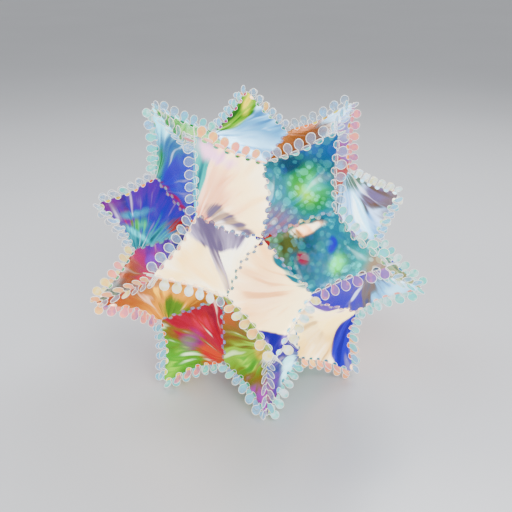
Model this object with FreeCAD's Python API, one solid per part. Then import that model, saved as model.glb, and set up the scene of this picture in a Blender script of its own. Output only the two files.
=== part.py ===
"""Star lantern of interlocking film panels around a battery light.

The shell is a rhombic hexecontahedron: sixty equal golden rhombi, three to each of twenty points.
Every panel edge carries round-headed tabs that pass through the gaps of its neighbour's edge.
Frame: millimetres, +Z up, origin on the table under the star's axis.
"""
import FreeCAD, Part
import math
import os

Vec = FreeCAD.Vector
UP = Vec(0, 0, 1)

# Star and film
STAR_DIAMETER = 250.0  # between two opposite point corners
EDGE = STAR_DIAMETER / (2 * math.sqrt(3 + 6 / math.sqrt(5)))
FILM = 0.3
ACUTE_HALF = math.atan((math.sqrt(5) - 1) / 2)  # half of a panel's acute corner
RING_RISE = math.atan(0.5)  # elevation of the dimples around the top one
SEAM_GAP = 0.5  # a panel's straight edge stops this far short of the seam

# Tabs
TABS = 6
PITCH = EDGE / (TABS + 0.5)
EARLY = 0.5  # first tab's distance from the acute corner, in pitches, on two of the four edges
LATE = 1.0  # and on the other two
CROWDED_TABS = {EARLY: 1, LATE: 0}  # tabs left off beside the dimple corner, where five panels meet
HEAD_RADIUS = 0.385 * PITCH
HEAD_RISE = 0.5 * PITCH  # head centre above the seam
NOTCH_RISE = 0.05 * PITCH  # notch centre above the seam
NOTCH_RADIUS = math.hypot(0.5 * PITCH, HEAD_RISE - NOTCH_RISE) - HEAD_RADIUS
ROOT_RADIUS = 0.15 * PITCH  # fillet beside an edge's first or last tab

THROUGH = 6.0  # how far a cutting tool reaches past what it cuts

# Heights. The lantern stands on the lowest heads, beside the tips of its five lower points.
TIP_DROP = EDGE * (1 + 2 * math.sin(RING_RISE))
LOWEST_HEAD = HEAD_RADIUS + HEAD_RISE * math.cos(RING_RISE) - EARLY * PITCH * math.sin(RING_RISE)
CENTRE = TIP_DROP + LOWEST_HEAD
APEX = CENTRE - EDGE  # inner corner of the bottom dimple

# Seat for the light, clamped in the bottom dimple
TUBE_BORE = 14.3
TUBE_RADIUS = 16.3
TUBE_LOW = APEX - 23.5
TUBE_HIGH = APEX + 3.0
FILM_HOLE = 17.0
FLANGE_RADIUS = 25.0
FLANGE_GAP = 0.2  # from the film's middle plane to a flange
SEAT_FLANGE = 1.8
CLAMP_FLANGE = 1.6
SKIRT_BORE = 16.5
SKIRT_RADIUS = 18.4
SKIRT_LOW = APEX - 15.0
UNTABBED = 4  # tabs left off under the flanges, on each lower edge of a bottom panel
SCREW_REACH = 21.5
SCREW_RADIUS = 1.0
SCREW_HOLE = 1.3
SCREW_PILOT = 1.02
SCREW_HEAD_RADIUS = 1.9
SCREW_HEAD = 1.1
SCREW_RECESS = 0.5
SCREW_PROUD = 0.6  # a clamp screw's end past the upper flange

# Bayonet of the light in the seat
LUGS = 3
LUG_START = 90.0
LUG_REACH = 15.9
LUG_SPAN = 16.0  # degrees
LUG_LOW = APEX - 19.0
LUG_HEIGHT = 2.0
TWIST = 30.0  # degrees from locked to free
SLOT_GAP = 0.4
SLOT_GAP_ANGLE = 1.6
SLOT_TOOL = (10.0, 17.0)  # radii of the tool that cuts the slots

# Light
HOUSING_RADIUS = 14.0
HOUSING_BORE = 12.6
HOUSING_TOP = APEX + 30.0
DECK = 2.0
GRIP_TOP = APEX - 24.0
GRIP_LOW = APEX - 27.0
GRIP_RADIUS = 18.5
GRIP_RIBS = 24
RIB_RADIUS = 0.9
DOME_RADIUS = 13.9
DOME_WALL = 1.2
DOME_SKIRT = 3.0
BOARD_RADIUS = 11.6
BOARD = 1.2
LED_RING = 6
LED_REACH = 6.6
LED_SIDE = 3.5
LED_BASE = 1.0
LED_LENS = 1.4
BOARD_SCREW_REACH = 9.5

# Cells
CELLS = 3
CELL_RADIUS = 5.25
CELL_LENGTH = 44.5
CELL_REACH = 6.4
NUB_RADIUS = 1.9
NUB = 1.0
CELL_TOP = HOUSING_TOP - DECK - 0.6
CELL_LOW = CELL_TOP - CELL_LENGTH
PLATE = 0.4
PLATE_RADIUS = 0.7 * CELL_RADIUS
CARRIER_RADIUS = 12.4
CARRIER_HOLE = 5.4
CARRIER_PLATE = 1.5
CARRIER_ROD = 0.8
CARRIER_ROD_PROUD = 2.0
CARRIER_ENDS = (CELL_LOW + 5.0, CELL_TOP - 6.5)

# Tail cap and switch
CAP_RADIUS = 12.3
CAP_TOP = APEX - 22.0
CAP_LUG_REACH = 13.3
CAP_LUG_SPAN = 22.0
CAP_LUG_LOW = GRIP_LOW + 1.2
CAP_LUG_HEIGHT = 1.1
CAP_LUG_BORE = 5.0
CAP_TWIST = 60.0
GROOVE_REACH = 13.6
GROOVE_GAP = 0.2
GROOVE_GAP_ANGLE = 2.0
GROOVE_BORE = 10.0
FINGER_REACH = (6.5, 10.5)
FINGER_SPAN = 50.0
FINGER_DEPTH = 1.5
CONTACT_REACH = (3.5, 10.5)
SWITCH_RADIUS = 3.1
SWITCH_HEIGHT = 3.8
PLUNGER_HOLE = 1.5
PLUNGER_DEPTH = 1.7
BUTTON_RADIUS = 4.2
BUTTON_WELL = 4.5
BUTTON_WELL_DEPTH = 4.0
BUTTON_PROUD = 1.2
BUTTON_HEIGHT = 3.8
STEM_RADIUS = 1.2
STEM = 2.1
SPRING_WIDTH = 4.0
SPRING_STRIP = 0.3
SPRING_MOUTH = 1.6
TOUCH = 0.05  # kept between a spring and what it presses on


def polar(reach, degrees, z=0.0):
    turn = math.radians(degrees)
    return Vec(reach * math.cos(turn), reach * math.sin(turn), z)


def towards(start, end, distance):
    return start + (end - start).normalize() * distance


def rod(radius, low, high, centre=Vec(0, 0, 0)):
    return Part.makeCylinder(radius, high - low, Vec(centre.x, centre.y, low))


def tube(bore, radius, low, high):
    return rod(radius, low, high).cut(rod(bore, low, high))


def sector(bore, radius, low, high, middle, span):
    """A piece of a tube that spans some degrees on both sides of a middle direction."""
    solid = Part.makeCylinder(radius, high - low, Vec(0, 0, low), UP, span)
    solid.rotate(Vec(0, 0, 0), UP, middle - span / 2)
    return solid.cut(rod(bore, low, high))


def fuse(solids):
    return solids[0].multiFuse(solids[1:]).removeSplitter()


def save(name, shape):
    shape.exportStep(f"parts/{name}.step")


# --- film -------------------------------------------------------------------------------------------


def edge_runs(first_tab, untabbed=0):
    """One tabbed edge from its acute corner at 0 to its obtuse corner at EDGE, outside upwards.

    Each run is the two end points of a line, or three points of an arc.
    """
    heads = [Vec((first_tab + n) * PITCH, HEAD_RISE, 0) for n in range(untabbed, TABS)]
    seam = Vec(0, -SEAM_GAP, 0)
    here = seam + Vec(SEAM_GAP / math.tan(ACUTE_HALF), 0, 0)
    runs = []

    def line(end):
        nonlocal here
        runs.append((here, end))
        here = end

    def arc(middle, end):
        nonlocal here
        runs.append((here, middle, end))
        here = end

    def over(head, end):
        arc(head + Vec(0, HEAD_RADIUS, 0), end)

    def under(notch, end):
        arc(notch - Vec(0, NOTCH_RADIUS, 0), end)

    def notch_beside(head, side):
        notch = Vec(head.x + side * PITCH / 2, NOTCH_RISE, 0)
        half_mouth = math.sqrt(NOTCH_RADIUS**2 - (NOTCH_RISE + SEAM_GAP) ** 2)
        return notch, towards(notch, head, NOTCH_RADIUS), seam + Vec(notch.x + side * half_mouth, 0, 0)

    def root_beside(head, side):
        rise = ROOT_RADIUS - SEAM_GAP
        run = math.sqrt((HEAD_RADIUS + ROOT_RADIUS) ** 2 - (head.y - rise) ** 2)
        centre = Vec(head.x + side * run, rise, 0)
        foot = Vec(centre.x, -SEAM_GAP, 0)
        joint = towards(centre, head, ROOT_RADIUS)
        return towards(centre, (foot + joint) * 0.5, ROOT_RADIUS), joint, foot

    if first_tab == EARLY and not untabbed:
        middle, joint, foot = root_beside(heads[0], -1)
        line(foot)
        arc(middle, joint)
    else:
        notch, joint, mouth = notch_beside(heads[0], -1)
        line(mouth)
        under(notch, joint)
    for head, following in zip(heads, heads[1:]):
        notch, joint, _ = notch_beside(head, 1)
        over(head, joint)
        under(notch, towards(notch, following, NOTCH_RADIUS))
    if first_tab == EARLY:
        notch, joint, mouth = notch_beside(heads[-1], 1)
        over(heads[-1], joint)
        under(notch, mouth)
    else:
        middle, joint, foot = root_beside(heads[-1], 1)
        over(heads[-1], joint)
        arc(middle, foot)
    line(seam + Vec(EDGE - SEAM_GAP * math.tan(ACUTE_HALF), 0, 0))
    return runs


def panel(untabbed=0):
    """A flat panel around the origin: outer side +Z, point corner +Y, dimple corner -Y."""
    edges = []
    for upper in (1, -1):
        corner = Vec(0, upper * EDGE * math.cos(ACUTE_HALF), 0)
        for side in (1, -1):
            along = Vec(side * math.sin(ACUTE_HALF), -upper * math.cos(ACUTE_HALF), 0)
            out = Vec(side * math.cos(ACUTE_HALF), upper * math.sin(ACUTE_HALF), 0)
            first_tab = EARLY if side == upper else LATE
            left_off = 0 if upper > 0 else max(untabbed, CROWDED_TABS[first_tab])
            for run in edge_runs(first_tab, left_off):
                points = [corner + along * p.x + out * p.y for p in run]
                shape = Part.LineSegment(*points) if len(points) == 2 else Part.Arc(*points)
                edges.append(shape.toShape())
    face = Part.Face(Part.Wire(Part.__sortEdges__(edges)))
    face.translate(Vec(0, 0, -FILM / 2))
    return face.extrude(Vec(0, 0, FILM))


def directions():
    """Unit directions from the star's centre to its twelve dimples: top, upper ring, lower ring, bottom."""
    rings = [
        polar(math.cos(rise), first + 72 * k, math.sin(rise))
        for first, rise in ((-90, RING_RISE), (-54, -RING_RISE))
        for k in range(5)
    ]
    return [UP] + rings + [-UP]


DIMPLES = directions()
BOTTOM = len(DIMPLES) - 1


def neighbours(i, j):
    return i != j and DIMPLES[i].dot(DIMPLES[j]) > 0


def star_points():
    """Each point of the star stands between three dimples that are neighbours of one another."""
    numbers = range(len(DIMPLES))
    return [
        (i, j, k)
        for i in numbers
        for j in numbers[i:]
        for k in numbers[j:]
        if neighbours(i, j) and neighbours(j, k) and neighbours(i, k)
    ]


def place_panel(solid, dimple, others):
    """Moves a panel to run from a dimple's inner corner to the point that it shares with two others."""
    inner = DIMPLES[dimple] * EDGE
    tip = (DIMPLES[dimple] + DIMPLES[others[0]] + DIMPLES[others[1]]) * EDGE
    y = (tip - inner).normalize()
    z = (DIMPLES[others[0]] - DIMPLES[others[1]]).cross(y).normalize()
    if z.dot(inner) < 0:
        z = -z
    x = y.cross(z)
    middle = (inner + tip) * 0.5 + Vec(0, 0, CENTRE)
    turned = FreeCAD.Matrix(
        x.x, y.x, z.x, middle.x, x.y, y.y, z.y, middle.y, x.z, y.z, z.z, middle.z, 0, 0, 0, 1
    )
    placed = solid.copy()
    placed.Placement = FreeCAD.Placement(turned)
    return placed


def bottom_openings():
    """What is cut out of the bottom panels: the round hole for the seat and the clamp screws' holes."""
    return [rod(FILM_HOLE, APEX - FILM_HOLE, APEX + THROUGH)] + screw_holes(SCREW_HOLE)


def make_points():
    plain = panel()
    lower = panel(UNTABBED)
    openings = bottom_openings()
    for number, dimples in enumerate(star_points(), 1):
        solids = []
        for dimple in dimples:
            others = [d for d in dimples if d != dimple]
            if dimple == BOTTOM:
                solids.append(place_panel(lower, dimple, others).cut(openings).Solids[0])
            else:
                solids.append(place_panel(plain, dimple, others))
        save(f"point_{number:02d}", Part.makeCompound(solids))


# --- seat -------------------------------------------------------------------------------------------


def roof(offset, depth=40.0):
    """The bottom dimple as a solid five-sided pyramid, its faces moved inwards into the star by offset."""
    top = APEX + offset / math.cos(ACUTE_HALF)
    low = APEX - depth
    reach = (top - low) / math.tan(RING_RISE)
    corners = [polar(reach, -54 + 72 * k, low) for k in range(5)]
    peak = Vec(0, 0, top)
    faces = [
        Part.Face(Part.makePolygon([corners[k - 1], corners[k], peak, corners[k - 1]])) for k in range(5)
    ]
    faces.append(Part.Face(Part.makePolygon(corners + corners[:1])))
    return Part.Solid(Part.Shell(faces))


def flange(low, high, bore, radius):
    layer = roof(high).cut(roof(low))
    return layer.common(tube(bore, radius, APEX - FLANGE_RADIUS, APEX + THROUGH))


def screw_places():
    """Where each clamp screw crosses the film, and the film's normal there, into the star."""
    places = []
    for k in range(5):
        azimuth = -18 + 72 * k
        foot = polar(SCREW_REACH, azimuth, APEX - SCREW_REACH * math.tan(ACUTE_HALF))
        places.append((foot, polar(math.sin(ACUTE_HALF), azimuth, math.cos(ACUTE_HALF))))
    return places


def screw_holes(radius):
    return [
        Part.makeCylinder(radius, 2 * THROUGH, foot - normal * THROUGH, normal) for foot, normal in screw_places()
    ]


def screw(base, direction, shank_length, head_radius=SCREW_HEAD_RADIUS, head=SCREW_HEAD):
    """A pan-head screw whose shank starts at base and runs along direction, its head behind base."""
    back = base - direction * head
    body = Part.makeCylinder(head_radius, head, back, direction)
    rim = [e for e in body.Edges if e.BoundBox.Center.distanceToPoint(back) < 0.2 and e.Closed]
    body = body.makeFillet(head * 0.5, rim)
    shank = Part.makeCylinder(SCREW_RADIUS, shank_length, base, direction)
    solid = body.fuse(shank).removeSplitter()
    across = direction.cross(Vec(1, 0, 0)).normalize()
    half_slot = Vec(head_radius * 0.65, 0.25, 0)
    for turn in (0, 90):
        bar = Part.makeBox(2 * half_slot.x, 2 * half_slot.y, SCREW_RECESS, Vec(-half_slot.x, -half_slot.y, 0))
        bar.rotate(Vec(0, 0, 0), UP, turn)
        frame = FreeCAD.Rotation(across, direction.cross(across), direction, "ZXY")
        bar.Placement = FreeCAD.Placement(back, frame).multiply(bar.Placement)
        solid = solid.cut(bar)
    return solid


def make_seat_ring():
    body = fuse(
        [
            tube(TUBE_BORE, TUBE_RADIUS, TUBE_LOW, TUBE_HIGH),
            flange(FLANGE_GAP, FLANGE_GAP + SEAT_FLANGE, TUBE_RADIUS - 0.5, FLANGE_RADIUS),
        ]
    )
    cuts = screw_holes(SCREW_PILOT)
    slot_low = LUG_LOW - SLOT_GAP
    slot_high = LUG_LOW + LUG_HEIGHT + SLOT_GAP
    width = LUG_SPAN + 2 * SLOT_GAP_ANGLE
    for n in range(LUGS):
        locked = LUG_START + n * 360 / LUGS
        cuts.append(sector(*SLOT_TOOL, slot_low, slot_high, locked - TWIST / 2, width + TWIST))
        cuts.append(sector(*SLOT_TOOL, TUBE_LOW - THROUGH, slot_high, locked - TWIST, width))
    save("seat_ring", body.cut(cuts).Solids[0])


def make_clamp_ring():
    skirt = tube(SKIRT_BORE, SKIRT_RADIUS, SKIRT_LOW, APEX).common(roof(-FLANGE_GAP))
    plate = flange(-FLANGE_GAP - CLAMP_FLANGE, -FLANGE_GAP, SKIRT_BORE, FLANGE_RADIUS)
    save("clamp_ring", fuse([plate, skirt]).cut(screw_holes(SCREW_HOLE)).Solids[0])


def make_clamp_screws():
    below = FLANGE_GAP + CLAMP_FLANGE
    length = below + FLANGE_GAP + SEAT_FLANGE + SCREW_PROUD
    screws = [screw(foot - normal * below, normal, length) for foot, normal in screw_places()]
    save("clamp_screws", Part.makeCompound(screws))


# --- light ------------------------------------------------------------------------------------------


def make_light_housing():
    solids = [
        tube(HOUSING_BORE, HOUSING_RADIUS, GRIP_LOW, HOUSING_TOP),
        rod(HOUSING_RADIUS, HOUSING_TOP - DECK, HOUSING_TOP),
        tube(HOUSING_BORE, GRIP_RADIUS, GRIP_LOW, GRIP_TOP),
    ]
    for n in range(LUGS):
        middle = LUG_START + n * 360 / LUGS
        solids.append(sector(HOUSING_BORE, LUG_REACH, LUG_LOW, LUG_LOW + LUG_HEIGHT, middle, LUG_SPAN))
    for n in range(GRIP_RIBS):
        solids.append(rod(RIB_RADIUS, GRIP_LOW + 0.5, GRIP_TOP - 0.5, polar(GRIP_RADIUS, n * 360 / GRIP_RIBS)))
    groove_high = CAP_LUG_LOW + CAP_LUG_HEIGHT + GROOVE_GAP
    cuts = [tube(GROOVE_BORE, GROOVE_REACH, CAP_LUG_LOW - GROOVE_GAP, groove_high)]
    for middle in (0, 180):
        width = CAP_LUG_SPAN + 2 * GROOVE_GAP_ANGLE
        cuts.append(sector(GROOVE_BORE, GROOVE_REACH, GRIP_LOW - THROUGH, CAP_LUG_LOW, middle - CAP_TWIST, width))
    cuts += [rod(SCREW_PILOT, HOUSING_TOP - 5, HOUSING_TOP + 1, place) for place in board_screw_places()]
    save("light_housing", fuse(solids).cut(cuts).Solids[0])


def dome_shell(radius):
    spring_line = HOUSING_TOP + DOME_SKIRT
    return rod(radius, HOUSING_TOP, spring_line).fuse(Part.makeSphere(radius, Vec(0, 0, spring_line), UP, 0, 90))


def make_diffuser_dome():
    save("diffuser_dome", dome_shell(DOME_RADIUS).cut(dome_shell(DOME_RADIUS - DOME_WALL)).removeSplitter())


def board_screw_places():
    return [polar(BOARD_SCREW_REACH, 30), polar(BOARD_SCREW_REACH, 210)]


def make_led_board():
    board = rod(BOARD_RADIUS, HOUSING_TOP, HOUSING_TOP + BOARD)
    holes = [rod(SCREW_HOLE, HOUSING_TOP, HOUSING_TOP + BOARD, place) for place in board_screw_places()]
    save("led_board", board.cut(holes))


def led(place):
    low = HOUSING_TOP + BOARD
    corner = Vec(place.x - LED_SIDE / 2, place.y - LED_SIDE / 2, low)
    base = Part.makeBox(LED_SIDE, LED_SIDE, LED_BASE, corner)
    lens = Part.makeSphere(LED_LENS, Vec(place.x, place.y, low + LED_BASE), UP, 0, 90)
    return base.fuse(lens).removeSplitter()


def make_leds():
    places = [Vec(0, 0, 0)] + [polar(LED_REACH, n * 360 / LED_RING) for n in range(LED_RING)]
    save("leds", Part.makeCompound([led(place) for place in places]))


def make_board_screws():
    screws = [
        screw(place + Vec(0, 0, HOUSING_TOP + BOARD), -UP, BOARD + DECK) for place in board_screw_places()
    ]
    save("board_screws", Part.makeCompound(screws))


def cell_places():
    return [polar(CELL_REACH, 90 + n * 360 / CELLS) for n in range(CELLS)]


def make_battery_carrier():
    plates = [rod(CARRIER_RADIUS, z, z + CARRIER_PLATE) for z in CARRIER_ENDS]
    low, high = CARRIER_ENDS
    high += CARRIER_PLATE
    body = fuse(plates + [rod(CARRIER_ROD, low - CARRIER_ROD_PROUD, high + CARRIER_ROD_PROUD)])
    holes = [rod(CARRIER_HOLE, low - THROUGH, high + THROUGH, place) for place in cell_places()]
    save("battery_carrier", body.cut(holes).Solids[0])


def make_batteries():
    cells = [
        rod(CELL_RADIUS, CELL_LOW, CELL_TOP - NUB, place).fuse(rod(NUB_RADIUS, CELL_LOW, CELL_TOP, place))
        for place in cell_places()
    ]
    save("batteries", Part.makeCompound([cell.removeSplitter() for cell in cells]))


def make_contact_plates():
    low = HOUSING_TOP - DECK - PLATE - TOUCH
    plates = [rod(PLATE_RADIUS, low, low + PLATE, place) for place in cell_places()]
    save("contact_plates", Part.makeCompound(plates))


# --- tail cap and switch ----------------------------------------------------------------------------


def make_tail_cap():
    solids = [rod(CAP_RADIUS, GRIP_LOW, CAP_TOP)]
    lug_high = CAP_LUG_LOW + CAP_LUG_HEIGHT
    solids += [
        sector(CAP_LUG_BORE, CAP_LUG_REACH, CAP_LUG_LOW, lug_high, middle, CAP_LUG_SPAN) for middle in (0, 180)
    ]
    cuts = [
        rod(BUTTON_WELL, GRIP_LOW - THROUGH, GRIP_LOW + BUTTON_WELL_DEPTH),
        rod(PLUNGER_HOLE, GRIP_LOW, CAP_TOP + THROUGH),
    ]
    inner, outer = FINGER_REACH
    cuts += [
        sector(inner, outer, GRIP_LOW - THROUGH, GRIP_LOW + FINGER_DEPTH, middle, FINGER_SPAN)
        for middle in (0, 180)
    ]
    save("tail_cap", fuse(solids).cut(cuts).Solids[0])


def make_cap_contact():
    save("cap_contact", tube(*CONTACT_REACH, CAP_TOP, CAP_TOP + PLATE))


def make_switch_body():
    body = rod(SWITCH_RADIUS, CAP_TOP, CAP_TOP + SWITCH_HEIGHT)
    body = body.makeFillet(0.5, [e for e in body.Edges if e.Closed and e.BoundBox.ZMin > CAP_TOP + 1])
    save("switch_body", body.cut(rod(PLUNGER_HOLE, CAP_TOP, CAP_TOP + PLUNGER_DEPTH)))


def make_switch_button():
    low = GRIP_LOW - BUTTON_PROUD
    head = rod(BUTTON_RADIUS, low, low + BUTTON_HEIGHT)
    head = head.makeFillet(0.8, [e for e in head.Edges if e.Closed and e.BoundBox.ZMax < low + 1])
    stem = rod(STEM_RADIUS, low, low + BUTTON_HEIGHT + STEM)
    save("switch_button", head.fuse(stem).removeSplitter())


def spring(place):
    """A strip of spring steel bent into an open ring that stands between the contact disc and a cell."""
    low = CAP_TOP + PLATE + TOUCH
    radius = (CELL_LOW - TOUCH - low) / 2
    across = UP.cross(place).normalize()
    centre = Vec(place.x, place.y, low + radius) - across * (SPRING_WIDTH / 2)
    ring = Part.makeCylinder(radius, SPRING_WIDTH, centre, across)
    ring = ring.cut(Part.makeCylinder(radius - SPRING_STRIP, SPRING_WIDTH, centre, across))
    mouth = Part.makeBox(radius * 1.2, SPRING_WIDTH, SPRING_MOUTH, Vec(0, -SPRING_WIDTH / 2, -SPRING_MOUTH / 2))
    turn = FreeCAD.Rotation(UP, math.degrees(math.atan2(place.y, place.x)))
    mouth.Placement = FreeCAD.Placement(Vec(place.x, place.y, low + radius), turn).multiply(mouth.Placement)
    return ring.cut(mouth).Solids[0]


def make_battery_springs():
    save("battery_springs", Part.makeCompound([spring(place) for place in cell_places()]))


def main():
    os.makedirs("parts", exist_ok=True)
    make_points()
    make_seat_ring()
    make_clamp_ring()
    make_clamp_screws()
    make_light_housing()
    make_diffuser_dome()
    make_led_board()
    make_leds()
    make_board_screws()
    make_battery_carrier()
    make_batteries()
    make_contact_plates()
    make_tail_cap()
    make_cap_contact()
    make_switch_body()
    make_switch_button()
    make_battery_springs()


main()
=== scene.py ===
import math
import random

import bmesh
import bpy
import numpy as np
from bpy.props import FloatProperty, FloatVectorProperty, IntProperty, PointerProperty
from mathutils import Matrix, Vector, noise


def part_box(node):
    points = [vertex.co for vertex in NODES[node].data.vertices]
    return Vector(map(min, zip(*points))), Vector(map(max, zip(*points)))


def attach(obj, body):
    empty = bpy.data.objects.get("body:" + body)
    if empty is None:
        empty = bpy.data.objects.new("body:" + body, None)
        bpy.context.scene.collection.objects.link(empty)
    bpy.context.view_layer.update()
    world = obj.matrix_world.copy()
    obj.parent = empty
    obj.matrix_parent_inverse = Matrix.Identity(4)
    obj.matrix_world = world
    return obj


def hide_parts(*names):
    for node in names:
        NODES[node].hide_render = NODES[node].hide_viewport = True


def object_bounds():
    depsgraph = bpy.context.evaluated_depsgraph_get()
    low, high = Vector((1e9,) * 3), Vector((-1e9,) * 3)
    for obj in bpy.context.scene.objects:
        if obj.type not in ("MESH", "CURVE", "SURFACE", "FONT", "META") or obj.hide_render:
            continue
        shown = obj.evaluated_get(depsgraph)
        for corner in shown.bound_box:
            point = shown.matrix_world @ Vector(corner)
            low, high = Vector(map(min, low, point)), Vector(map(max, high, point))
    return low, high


# A table star lantern: sixty bowed panels of iridescent film, joined by rows of round tabs, around a light.

bl_info = {
    "name": "Star Lantern",
    "version": (1, 0, 0),
    "blender": (4, 5, 0),
    "location": "View3D > Sidebar > Star Lantern",
    "description": "Builds the film shell, the light's finishes and the studio of a star lantern",
    "category": "Object",
}

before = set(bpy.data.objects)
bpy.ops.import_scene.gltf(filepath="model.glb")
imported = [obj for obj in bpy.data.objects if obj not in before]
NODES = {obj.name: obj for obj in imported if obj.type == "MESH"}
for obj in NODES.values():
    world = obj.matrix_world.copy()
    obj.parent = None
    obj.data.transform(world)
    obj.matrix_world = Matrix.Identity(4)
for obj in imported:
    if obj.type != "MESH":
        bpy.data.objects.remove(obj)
CAD_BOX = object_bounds()

# The star's own proportions. Its centre is at half its height, and its size follows from that height.
ACUTE_HALF = math.atan((math.sqrt(5) - 1) / 2)  # half of a panel's acute corner
RING_RISE = math.atan(0.5)  # elevation of the dimples around the top one
TABS = 6
EARLY = 0.5  # first tab's distance from the acute corner, in pitches, on two of the four edges
LATE = 1.0
HEAD = 0.385  # head radius, in pitches
HEAD_RISE = 0.5
NOTCH_RISE = 0.05
NOTCH = math.hypot(0.5, HEAD_RISE - NOTCH_RISE) - HEAD
ROOT = 0.15
LOWEST_HEAD = HEAD + HEAD_RISE * math.cos(RING_RISE) - EARLY * math.sin(RING_RISE)
CENTRE = Vector((0, 0, CAD_BOX[1][2] / 2))
EDGE = CENTRE.z / (1 + 2 * math.sin(RING_RISE) + LOWEST_HEAD / (TABS + 0.5))
PITCH = EDGE / (TABS + 0.5)
SEAM_GAP = 0.0005
HALF_LONG = EDGE * math.cos(ACUTE_HALF)
SEAT_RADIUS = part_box("seat_ring")[1].x
FILM_HOLE = 0.017
UNTABBED = 4  # tabs left off under the seat, on each lower edge of a bottom panel
SWEEP_STEP = math.radians(20)  # one step of a tab's outline
MERGE = 1e-5  # corners closer than this are one
CUT_MARGIN = 1e-7
HOLE_MARGIN = 1e-6
TAB_START = 0.1 * PITCH  # where the tab's tint begins, past the seam

FILM_UV = "film"
TAB_TONE = "tone"
FILM_SLOTS = 3  # one for each panel of a point
TAB_SLOT = FILM_SLOTS
RIM_SLOT = FILM_SLOTS + 1

BOW_REACH = 0.22 * EDGE  # how far from a seam the film still moves with it
SOFT_RIPPLE = 0.33 * EDGE
FINE_RIPPLE = 0.12 * EDGE
HEAD_CHANGE = 0.15  # share of tab heads that take the other ridge's tint

SOFTBOX_DISTANCE = 0.9
SOFTBOXES = (  # name, setting with its power, turn from the front to the right, elevation, side
    ("front softbox", "key", 10, 34, 0.45),
    ("left back softbox", "fill", -122, 56, 0.5),
    ("right back softbox", "fill", 138, 48, 0.5),
)
SURROUND = (0.95, 0.97, 1.0, 1)
FLOOR_HALF = 6.0
CAMERA_OFFSET = (-0.004, -0.156)  # sideways and upwards, in panel edges


# --- settings ---------------------------------------------------------------------------------------


class FilmSettings(bpy.types.PropertyGroup):
    thickness: FloatProperty(
        name="Thickness", description="Film thickness", default=0.0003, subtype="DISTANCE"
    )
    # The cut rim is a band of painted highlight round the film's outline.
    rim: FloatProperty(
        name="Cut rim", description="Width of the bright cut rim", default=0.00025, subtype="DISTANCE"
    )
    bow: FloatProperty(
        name="Seam bow", description="How far ridges sink at mid-span", default=0.0042, subtype="DISTANCE"
    )
    dish: FloatProperty(
        name="Panel dish", description="How far a panel's middle sinks", default=0.0030, subtype="DISTANCE"
    )
    ripple: FloatProperty(
        name="Ripple", description="Height of the film's soft ripples", default=0.0005, subtype="DISTANCE"
    )
    cells: IntProperty(name="Cells", description="Mesh cells along an edge", default=20, min=6, max=60)
    gloss: FloatProperty(
        name="Roughness", description="Roughness of the film", default=0.2, subtype="FACTOR"
    )
    # Painted glow: the film and its tab heads give off light, though they are no lamp.
    painted_glow: FloatProperty(
        name="Glow", description="Light that the film gives off", default=0.55, subtype="FACTOR"
    )
    seed: IntProperty(name="Seed", description="Varies bows, ripples and tab tints", default=7)
    pattern: IntProperty(name="Pattern", description="Varies the film's streaks", default=12)


class StageSettings(bpy.types.PropertyGroup):
    floor: FloatVectorProperty(
        name="Floor", description="Floor colour", default=(0.56, 0.57, 0.60), size=3, subtype="COLOR"
    )
    sky: FloatProperty(name="Surround", description="Brightness of the surround", default=0.6)
    key: FloatProperty(
        name="Key light", description="Power of the front softbox", default=9.0, subtype="POWER"
    )
    fill: FloatProperty(
        name="Fill light", description="Power of each back softbox", default=7.0, subtype="POWER"
    )
    azimuth: FloatProperty(
        name="Azimuth", description="Camera's turn", default=math.radians(-5.8), subtype="ANGLE"
    )
    rise: FloatProperty(
        name="Rise", description="Camera's elevation", default=math.radians(23.2), subtype="ANGLE"
    )
    distance: FloatProperty(name="Distance", description="Camera's distance in panel edges", default=10.6)
    field: FloatProperty(
        name="Field", description="Camera's field of view", default=math.radians(37.6), subtype="ANGLE"
    )


# --- shape helpers ----------------------------------------------------------------------------------


def flat_polar(reach, degrees, z=0.0):
    turn = math.radians(degrees)
    return Vector((reach * math.cos(turn), reach * math.sin(turn), z))


def dimple_directions():
    """Unit directions from the star's centre to its twelve dimples: top, upper ring, lower ring, bottom."""
    rings = [
        flat_polar(math.cos(rise), first + 72 * k, math.sin(rise))
        for first, rise in ((-90, RING_RISE), (-54, -RING_RISE))
        for k in range(5)
    ]
    return [Vector((0, 0, 1))] + rings + [Vector((0, 0, -1))]


DIMPLES = dimple_directions()
BOTTOM = len(DIMPLES) - 1


def neighbours(i, j):
    return i != j and DIMPLES[i].dot(DIMPLES[j]) > 0


def star_points():
    """The three dimples around each point, in the order of the point nodes."""
    numbers = range(len(DIMPLES))
    return [
        (i, j, k)
        for i in numbers
        for j in numbers[i:]
        for k in numbers[j:]
        if neighbours(i, j) and neighbours(j, k) and neighbours(i, k)
    ]


class Pen:
    """Draws an outline in the XY plane, one edge after another, by moving its last vertex."""

    def __init__(self, bm, start):
        self.bm = bm
        self.last = bm.verts.new(start)

    def line(self, end):
        made = bmesh.ops.extrude_vert_indiv(self.bm, verts=[self.last])
        self.last = made["verts"][0]
        self.last.co = end

    def arc(self, centre, end, clockwise):
        start = self.last.co - centre
        angle = start.to_2d().angle_signed((end - centre).to_2d())  # clockwise positive
        angle = angle % (2 * math.pi) if clockwise else -((-angle) % (2 * math.pi))
        steps = max(2, round(abs(angle) / SWEEP_STEP))
        spun = bmesh.ops.spin(
            self.bm, geom=[self.last], cent=centre, axis=(0, 0, -1), angle=angle, steps=steps
        )
        self.last = next(g for g in spun["geom_last"] if isinstance(g, bmesh.types.BMVert))
        self.last.co = end


def towards(start, end, distance):
    return start + (end - start).normalized() * distance


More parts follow.
